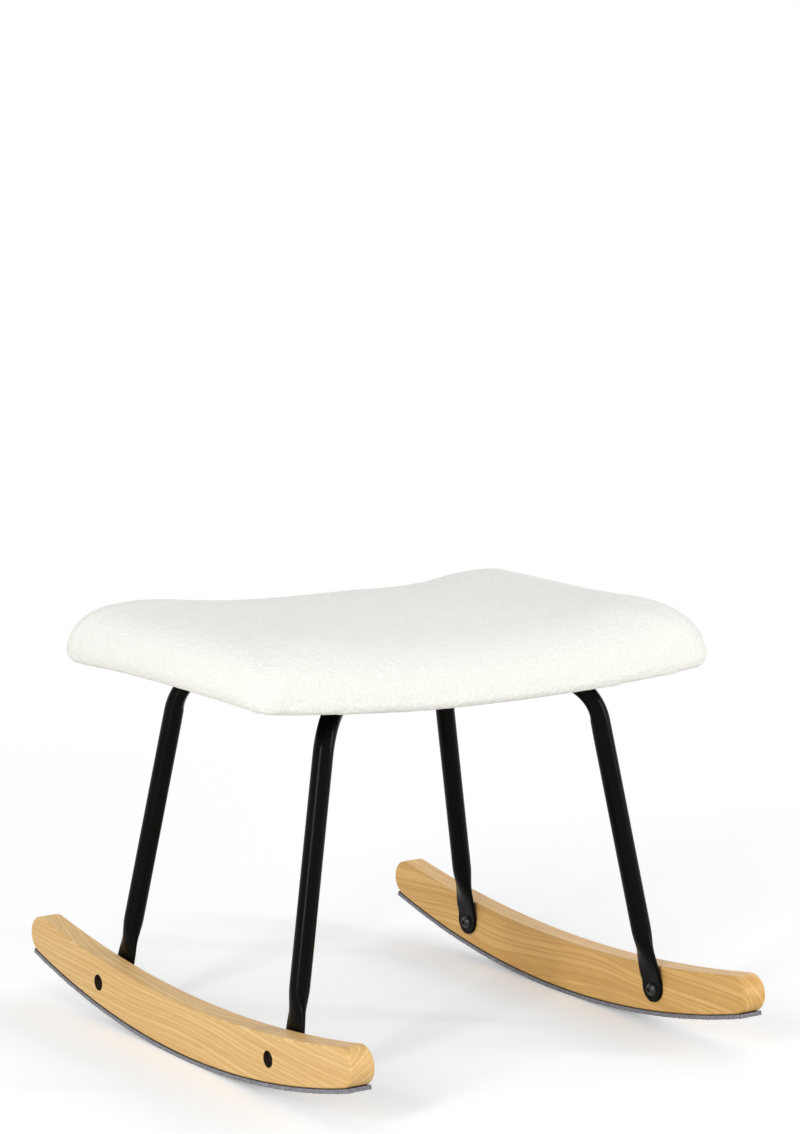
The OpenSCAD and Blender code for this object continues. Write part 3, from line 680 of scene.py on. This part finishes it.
def felt_sole(name, side):
    bm = bmesh.new()
    wide = rocker_out_x - rocker_in_x - 2 * felt_inset
    bmesh.ops.create_grid(bm, x_segments=15, y_segments=3, size=0.5)
    bmesh.ops.delete(bm, geom=bm.faces[:], context="FACES_ONLY")
    inner = [v for v in bm.verts if max(abs(v.co.x), abs(v.co.y)) < 0.49]
    bmesh.ops.delete(bm, geom=inner, context="VERTS")
    half_turn = math.asin(felt_reach / sole_r)
    middle_x = side * (rocker_in_x + rocker_out_x) / 2
    for v in bm.verts:
        v.co = Vector((middle_x + v.co.x * wide, 0,
                       -sole_r - film_t - felt_t * (0.5 - v.co.y)))
    bmesh.ops.rotate(bm, verts=bm.verts, cent=(0, 0, 0),
                     matrix=Matrix.Rotation(-half_turn, 3, "X"))
    bmesh.ops.translate(bm, verts=bm.verts, vec=(0, 0, sole_cz))
    first = bm.edges[:]
    spun = bmesh.ops.spin(bm, geom=bm.verts[:] + bm.edges[:], cent=(0, 0, sole_cz),
                          axis=(1, 0, 0), dvec=(0, 0, 0), angle=2 * half_turn, steps=300,
                          use_duplicate=False)
    last = [g for g in spun["geom_last"] if isinstance(g, bmesh.types.BMEdge)]
    bmesh.ops.holes_fill(bm, edges=first + last, sides=0)
    bmesh.ops.recalc_face_normals(bm, faces=bm.faces)
    bm.normal_update()
    for v in bm.verts:
        edge = abs(abs(v.co.x - middle_x) - wide / 2) < 0.1 * mm
        shake = noise.noise(v.co * 420) * 0.9 + noise.noise(v.co * 60 + Vector((3, 1, 7))) * 0.6
        free = v.normal.z < 0.3 or abs(v.co.y) > end_y
        if free:
            v.co += v.normal * shake * (edge_shake if edge else face_shake)
        v.co.z = max(v.co.z, floor_gap)
    piece(name + "_felt_sole", bm, felt_grey, [name + "_felt"], sharp=60)


felt_sole("left", -1)
felt_sole("right", 1)

# %% [markdown]
# ## Lining
# The black cloth under the seat is stapled between the board and the turned hem. It is a
# sheet: a grid laid on the seat's curve, which sags a little in the four fields between the
# arms and lies flat where it is clamped over them.

# %% Lining cloth
sag_x, sag_y, sag_run = 200 * mm, 118 * mm, 25 * mm
sag_deep, pucker_high = 1.6 * mm, 0.3 * mm
open_l, open_w = seat_l - 2 * foot_x - 2 * hem_w, seat_w - 2 * foot_y - 2 * hem_w
bm = bmesh.new()
bmesh.ops.create_grid(bm, x_segments=70, y_segments=50, size=0.5)
cloth_l, cloth_w = open_l + 2 * lining_lap, open_w + 2 * lining_lap
arm_end = to_legs.inverted() @ corner
arm_plan = abs(arm_end.y) / arm_end.x
for v in bm.verts:
    x, y = v.co.x * cloth_l, v.co.y * cloth_w
    sag = max(0.0, 1 - (y / sag_y) ** 2) * max(0.0, 1 - (x / sag_x) ** 2)
    sag *= min(1.0, ((abs(y) - arm_plan * abs(x)) / sag_run) ** 2)
    pucker = noise.noise(Vector((x * 34, y * 34, 2))) * min(1.0, sag * 3)
    hang = sag_deep * sag + pucker_high * pucker
    v.co = Vector((x, y, low_z(x, lining_r - lining_t / 2) - hang))
lining = piece("lining_cloth", bm, lining_black, ["lining"], sharp=80,
               outward=False)
wall = lining.modifiers.new("cloth_thickness", "SOLIDIFY")
wall.thickness, wall.offset = 0.4 * mm, 0

# %% [markdown]
# ## The cushion
# The seat is a padded saddle: its ends rise, its shoulders are round, its sides are widest low
# down, and the cover turns under in a hem round a shallow recess. It starts as one ring that is
# extruded and moved from the recess, out round the hem and up over the shoulder to the crown.
# Upholstery is hand work, so the photographed seat isn't even: its lower corners hang by
# different amounts and the foam is a little lower at the right rear. The form has that too.

# %% Rings of the seat
def seat_outline(hx, hy, r, runs=22, corner=9):
    """Points of a rounded rectangle, always in the same order and number."""
    points = []
    for quarter, (sx, sy) in enumerate(((1, 1), (-1, 1), (-1, -1), (1, -1))):
        cx, cy = sx * (hx - r), sy * (hy - r)
        for i in range(corner):
            a = math.pi / 2 * (quarter + i / corner)
            points.append((cx + r * math.cos(a), cy + r * math.sin(a)))
        a = math.pi / 2 * (quarter + 1)
        x0, y0 = cx + r * math.cos(a), cy + r * math.sin(a)
        if quarter % 2 == 0:
            x1, y1 = -x0, y0
        else:
            x1, y1 = x0, -y0
        points += [(x0 + (x1 - x0) * i / runs, y0 + (y1 - y0) * i / runs) for i in range(runs)]
    return points


def seat_rows():
    """Half sizes, corner radius and height rule of each ring, from the recess to the crown."""
    hx, hy = seat_l / 2, seat_w / 2
    ox, oy = open_l / 2, open_w / 2
    deep = board_r - 5 * mm
    rows = [(ox * s, oy * s, corner_low * s, 0, 0, deep) for s in (0.2, 0.4, 0.6, 0.8, 1)]
    rows += [(ox, oy, corner_low, 0, 0, cover_r - 3 * mm)]
    rows += [(ox + d, oy + d, corner_low, 0, 0, cover_r - lift) for d, lift in (
        (0.8 * mm, 0.8 * mm), (2.5 * mm, 0), (8 * mm, 0), (14 * mm, 0))]
    for i in range(7):
        a = math.pi / 2 * i / 7
        share = widest * (1 - math.cos(a))
        rows.append((hx - rim_x * (1 - math.sin(a)), hy - rim_y * (1 - math.sin(a)),
                     corner_low + (corner_top - corner_low) * share, share, 0, cover_r))
    for i in range(15):
        a = math.pi / 2 * i / 14
        share = widest + (1 - widest) * math.sin(a)
        rows.append((hx - run_x * (1 - math.cos(a)), hy - run_y * (1 - math.cos(a)),
                     corner_low + (corner_top - corner_low) * share, share, 0, cover_r))
    for s in (0.86, 0.72, 0.57, 0.42, 0.28, 0.14):
        rows.append(((hx - run_x) * s, (hy - run_y) * s, corner_top * s, 1,
                     crown * (1 - s * s), cover_r))
    return rows


# %% The closed form
hang_start, hang_run = 8 * mm, 12 * mm
dip_x, dip_run_x, dip_y, dip_run_y = 30 * mm, 120 * mm, -180 * mm, 160 * mm


def corner_hang(x, y):
    """How much lower the cover hangs outside the hem: hand work, so each corner differs."""
    past_hem = max(abs(x) - open_l / 2, abs(y) - open_w / 2)
    free = max(0.0, min(1.0, (past_hem - hang_start) / hang_run))
    along, aside = abs(x) / (seat_l / 2), abs(y) / (seat_w / 2)
    if x > 0:
        return right_hang * along ** 1.4 * aside ** 2 * free
    if y > 0:
        return rear_hang * along ** 8 * aside ** 1.3 * free
    return front_hang * along ** 8 * aside ** 5 * free


def top_dip(x, y):
    """The foam is a little lower towards the right rear corner."""
    return right_dip * ease((x - dip_x) / dip_run_x) * ease((y - dip_y) / dip_run_y)


def seat_point(x, y, share, lift, under):
    """A point of a ring, with the long sides a little bowed."""
    along, aside = abs(x) / (seat_l / 2), abs(y) / (seat_w / 2)
    drop = corner_hang(x, y) * (1 - share) ** 2 + top_dip(x, y) * share
    y *= 1 + bow / (seat_w / 2) * (1 - along ** 2) * aside
    z = low_z(x, under)
    return Vector((x, y, z + share * (high_z(x) - z) + lift - drop))


def seat_form():
    bm = bmesh.new()
    rows = seat_rows()
    first = seat_outline(*rows[0][:3])
    bmesh.ops.create_circle(bm, cap_ends=True, segments=len(first), radius=0.1)
    ring, edges = bm.verts[:], bm.edges[:]
    order = sorted(ring, key=lambda v: math.atan2(v.co.y, v.co.x) % (2 * math.pi))
    index = {v: i for i, v in enumerate(order)}
    for number, (hx, hy, r, share, lift, under) in enumerate(rows):
        if number:
            old = index
            ring, edges = pull_ring(bm, edges)
            index = {v: old[next(e.other_vert(v) for e in v.link_edges
                                 if e.other_vert(v) in old)] for v in ring}
        outline = seat_outline(hx, hy, r)
        for v in ring:
            v.co = seat_point(*outline[index[v]], share, lift, under)
    bmesh.ops.holes_fill(bm, edges=edges, sides=0)
    bmesh.ops.triangulate(bm, faces=[f for f in bm.faces if len(f.verts) > 4])
    return bm


# %% [markdown]
# Cloth simulation rounds and swells the padding as foam does under a tight cover. The form is
# first given an even mesh by a voxel remesh, then blown up for a few frames. How far a point
# may move is capped, and the hem and recess are held still, so the seat keeps its measured size.

# %% Even mesh and padding
still_rim, still_high, still_run = 6 * mm, 26 * mm, 14 * mm


def evaluated_mesh(made):
    return bpy.data.meshes.new_from_object(
        made.evaluated_get(bpy.context.evaluated_depsgraph_get()))


def new_mesh(made, mesh):
    old = made.data
    made.modifiers.clear()
    made.data = mesh
    bpy.data.meshes.remove(old)


def is_still(co):
    """1 on the underside and in the recess, 0 on the sides and the top."""
    over = co.z - low_z(co.x, cover_r)
    inside = abs(co.x) < open_l / 2 + still_rim and abs(co.y) < open_w / 2 + still_rim
    if inside and over < still_high:
        return 1.0
    return max(0.0, min(1.0, 1 - over / still_run))


def swell(made, cap, pressure=4.0):
    rest = [v.co.copy() for v in made.data.vertices]
    hold = made.vertex_groups.new(name="held_still")
    for v in made.data.vertices:
        share = is_still(v.co)
        if share > 0:
            hold.add([v.index], share, "REPLACE")
    cloth = made.modifiers.new("padding", "CLOTH")
    cloth.settings.use_pressure = True
    cloth.settings.uniform_pressure_force = pressure
    cloth.settings.effector_weights.gravity = 0
    cloth.settings.vertex_group_mass = "held_still"
    cloth.settings.quality = 4
    cloth.settings.tension_stiffness = 25
    cloth.settings.compression_stiffness = 25
    cloth.collision_settings.use_collision = False
    for number in range(1, 21):
        scene.frame_set(number)
    blown = evaluated_mesh(made)
    places = [v.co.copy() for v in blown.vertices]
    made.modifiers.remove(cloth)
    scene.frame_set(1)
    far = 0
    for v, a, b in zip(made.data.vertices, rest, places):
        move = (b - a) * (1 - is_still(a))
        if move.length > cap:
            move *= cap / move.length
        far = max(far, move.length)
        v.co = a + move
    bpy.data.meshes.remove(blown)
    print("padding moved at most", round(far / mm, 2), "mm")


# %% The cushion
cushion = piece("seat_cushion", seat_form(), pile_white,
                ["seat_cover", "foam_pad"], sharp=180)
measured = bmesh.new()
measured.from_mesh(cushion.data)
measured_form = BVHTree.FromBMesh(measured)
measured.free()
remesh = cushion.modifiers.new("even_mesh", "REMESH")
remesh.mode, remesh.voxel_size = "VOXEL", 5 * mm
new_mesh(cushion, evaluated_mesh(cushion))
print("even mesh:", len(cushion.data.vertices))
swell(cushion, 5 * mm)

# %% [markdown]
# Cloth under pressure also pulls itself together, so the sides come in a little. The outline
# was measured, so each point goes most of the way back to the form that the rings gave.

# %% Back to the measured outline
far = 0
for v in cushion.data.vertices:
    near = measured_form.find_nearest(v.co)[0]
    move = (near - v.co) * 0.75 * (1 - is_still(v.co))
    far = max(far, move.length)
    v.co += move
print("points went back at most", round(far / mm, 2), "mm")

# %% [markdown]
# Last come the parts of the cover that a remesh would erase. The cover is folded round the four
# corners, and each fold ends as a shallow line on the end face, which leans in as it rises. Then
# two subdivisions make the mesh fine enough for the pile's nubs: each point moves out by how near
# it is to the middle of a curl. The noise gets a seed first, so each run gives the same curls.

# %% Nubs and folds
fold_reach_x, fold_reach_y, fold_lean, fold_w = 25 * mm, 60 * mm, 34 * mm, 2.6 * mm


def fold_depth(co):
    """1 in the fold beside each corner and 0 away from it."""
    dx, dy = seat_l / 2 - abs(co.x), seat_w / 2 - abs(co.y)
    if dx > fold_reach_x or dy > fold_reach_y:
        return 0.0
    over = (co.z - low_z(co.x, cover_r)) / (high_z(co.x) - low_z(co.x, cover_r))
    fade = max(0.0, min(1.0, (0.85 - over) / 0.35))
    fold = corner_low + fold_lean * max(0.0, over)
    return fade * math.exp(-((dy - fold) / fold_w) ** 2)


curls_per_m, curl_reach, tufts_per_m = 330, 0.62, 95
curl_high, tuft_high, skin_low, fold_deep = 0.75 * mm, 0.2 * mm, 0.3 * mm, 0.8 * mm
bm = bmesh.new()
bm.from_mesh(cushion.data)
for _ in range(2):
    bmesh.ops.smooth_vert(bm, verts=bm.verts, factor=0.5, use_axis_x=True, use_axis_y=True,
                          use_axis_z=True)
for _ in range(2):
    bmesh.ops.subdivide_edges(bm, edges=bm.edges, cuts=1, use_grid_fill=True, smooth=0.6)
bm.normal_update()
noise.seed_set(7)
moves = []
for v in bm.verts:
    warp = noise.noise_vector(v.co * 170) * 0.6 * mm
    near = noise.voronoi((v.co + warp) * curls_per_m)[0]
    curl = max(0.0, 1 - (near[0] / curl_reach) ** 2)
    tuft = noise.noise(v.co * tufts_per_m)
    held = 0.5 if is_still(v.co) > 0.9 else 1.0
    out = (curl_high * curl + tuft_high * tuft - skin_low) * held
    moves.append(v.normal * (out - fold_deep * fold_depth(v.co)))
for v, move in zip(bm.verts, moves):
    v.co += move
bm.to_mesh(cushion.data)
bm.free()
cushion.data.shade_smooth()
print("cushion faces:", len(cushion.data.polygons))

# %% [markdown]
# ## CAD nodes that stay
# The rockers, screws, nuts, staples, film and board have the right shape in the CAD model, so
# they stay and only get their finishes.

# %% Finishes on CAD nodes
wears = {"left_rocker": left_oak, "right_rocker": shaded_right_oak, "seat_board": ply,
         "staples": zinc_steel, "left_film": film_dark, "right_film": film_dark}
for name in nodes:
    for kind, material in (("bolt", screw_steel), ("sleeve", nut_steel), ("insert", zinc_steel)):
        if kind in name:
            wears[name] = material
for name, material in wears.items():
    for slot in nodes[name].material_slots:
        slot.material = material
print("finished CAD nodes:", len(wears))
